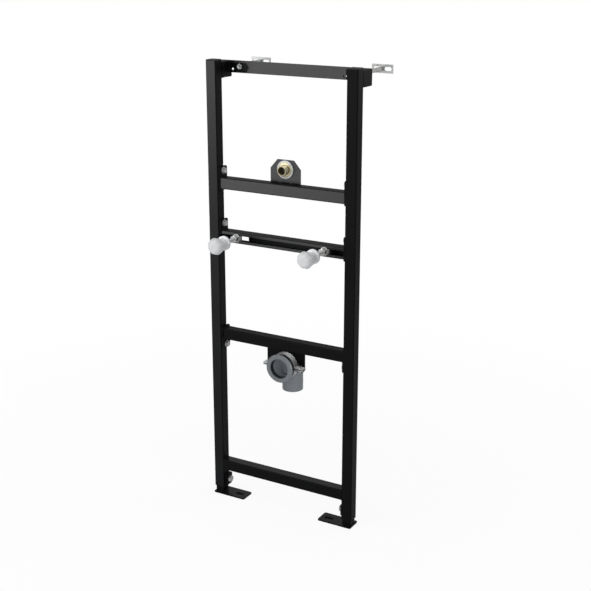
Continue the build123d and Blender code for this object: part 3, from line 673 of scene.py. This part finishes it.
# studio: a large key panel front left with soft fills; some panels are linked to a few pieces only
rearPieces = ["top_bar", "inlet_bar", "fixing_rail", "waste_bar", "inlet_plate", "waste_plate"]
rearPosts = ["left_upright", "right_upright", "left_head_stub", "right_head_stub"]
panels = {
    "keyPanel": {"place": (-1.5, -2.2, 1.45), "aim": (0.0, 0.0, 0.9), "size": (2.6, 2.4), "power": 44.0},
    "frontPanel": {"place": (1.2, -2.6, 1.1), "aim": (0.0, 0.0, 0.5), "size": (1.4, 1.4), "power": 10.0},
    "topPanel": {"place": (0.3, -0.5, 3.0), "aim": (0.0, 0.0, 0.6), "size": (1.8, 1.8), "power": 17.0},
    "backPanel": {"place": (1.8, 2.2, 1.7), "aim": (0.0, 0.0, 0.7), "size": (1.8, 1.8), "power": 14.0},
    "barSheen": {"place": (-1.35, -2.2, 0.88), "aim": (0.0, 0.0, 0.88), "size": (1.9, 2.0), "power": 300.0,
                 "only": ["top_bar", "inlet_bar", "fixing_rail", "inlet_plate"]},
    "postSheen": {"place": (-1.55, -2.2, 1.25), "aim": (0.0, 0.0, 1.25), "size": (1.6, 0.7), "power": 150.0,
                  "only": ["left_upright"]},
    "elbowPanel": {"place": (1.2, -2.0, 1.15), "aim": (0.0, 0.0, 0.41), "size": (1.4, 1.4), "power": 6.0,
                   "only": ["waste_elbow", "wasteSeal", "elbowMouldLines", "pipe_clamp_lining"]},
    "borePanel": {"place": (2.6, -1.2, 0.7), "aim": (0.0, 0.0, 0.41), "size": (0.6, 0.6), "power": 66.0,
                  "only": ["waste_elbow", "elbowMouldLines"], "shadow": False},
    "footPanel": {"place": (-1.5, 2.5, 1.5), "aim": (0.0, 0.0, 0.0), "size": (1.6, 1.4), "power": 10.0,
                  "only": ["left_foot", "right_foot", "bottom_bar"]},
    "rearRight": {"place": (1.6, 2.3, 0.28), "aim": (0.0, 0.0, 0.8), "size": (2.4, 0.5), "power": 60.0,
                  "only": rearPieces},
    "rearLeft": {"place": (-1.6, 2.3, 0.28), "aim": (0.0, 0.0, 0.8), "size": (2.4, 0.5), "power": 60.0,
                 "only": rearPieces + rearPosts},
    "clampPanel": {"place": (0.1, 2.0, 2.0), "aim": (0.0, 0.0, 0.44), "size": (1.6, 1.2), "power": 50.0,
                   "only": ["pipe_clamp_upper"], "shadow": False},
    "hangerPanel": {"place": (-0.7, -1.7, 2.0), "aim": (0.0, -0.1, 0.746), "size": (0.8, 0.8), "power": 23.0,
                    "only": ["leftHangerSleeve", "rightHangerSleeve", "leftHangerNuts", "rightHangerNuts"]},
}
for name, panel in panels.items():
    light = bpy.data.lights.new(name, "AREA")
    light.shape = "RECTANGLE"
    light.size, light.size_y = panel["size"]
    light.energy = panel["power"]
    light.use_shadow = panel.get("shadow", True)
    lamp = bpy.data.objects.new(name, light)
    lamp.location = panel["place"]
    lamp.rotation_euler = (Vector(panel["aim"]) - lamp.location).to_track_quat("-Z", "Y").to_euler()
    bpy.context.scene.collection.objects.link(lamp)
    if "only" in panel:
        lit = bpy.data.collections.new(name + "Lit")
        for piece in panel["only"]:
            lit.objects.link(nodes[piece] if piece in nodes else bpy.data.objects[piece])
        lamp.light_linking.receiver_collection = lit

# white surroundings for the camera and, weaker, for reflections; softer light for the rest
stage = {"fill": 0.40, "floor": (0.92, 0.92, 0.92), "reach": 40.0, "clarity": 0.90, "shadowReach": 0.45, "fade": 1.3,
         "mirror": 0.20}


def seenWhite(finish):
    path = finish.node("ShaderNodeLightPath")
    rays = path.socket.node.outputs
    sight = Wire(finish, rays["Is Camera Ray"]) + Wire(finish, rays["Is Glossy Ray"]) * stage["mirror"]
    return (sight + Wire(finish, rays["Is Transmission Ray"])).clamp()


world = bpy.data.worlds.new("studio")
world.use_nodes = True
bpy.context.scene.world = world


class WorldFinish(Finish):
    def __init__(self):
        self.tree = world.node_tree


sky = WorldFinish()
background = world.node_tree.nodes["Background"]
background.inputs["Color"].default_value = (1.0, 1.0, 1.0, 1.0)
sky.feed(background.inputs["Strength"], seenWhite(sky) * (1.0 - stage["fill"]) + stage["fill"])

# the floor is mostly clear to the camera, wholly so further out, and what is left of it shows the object's shadow;
# it stays under the left foot as the legs slide
floorFinish = Finish("paleFloor")
floorFinish.set({"Base Color": stage["floor"], "Roughness": 0.9, "Specular IOR Level": 0.0})
clear = floorFinish.node("ShaderNodeBsdfTransparent", {}, {"Color": (1.0, 1.0, 1.0)})
away = floorFinish.node("ShaderNodeVectorMath", {"operation": "LENGTH"}, {0: floorFinish.place}, 1)
faded = ((away - stage["shadowReach"]) * (1.0 / stage["fade"])).clamp()
seeThrough = seenWhite(floorFinish) * (faded * (1.0 - stage["clarity"]) + stage["clarity"])
mixed = floorFinish.node("ShaderNodeMixShader", {}, {
    0: seeThrough, 1: Wire(floorFinish, floorFinish.shader.outputs[0]), 2: clear})
floorFinish.feed(floorFinish.tree.nodes["Material Output"].inputs["Surface"], mixed)
floorMesh = bpy.data.meshes.new("floor")
reach = stage["reach"]
floorMesh.from_pydata([(-reach, -reach, 0), (reach, -reach, 0), (reach, reach, 0), (-reach, reach, 0)],
                      [], [(0, 1, 2, 3)])
floorMesh.materials.append(floorFinish.material)
floor = bpy.data.objects.new("floor", floorMesh)
bpy.context.scene.collection.objects.link(floor)
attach(floor, "left_telescopic_leg")
bpy.context.scene.view_settings.view_transform = "Standard"
print("studio ready")
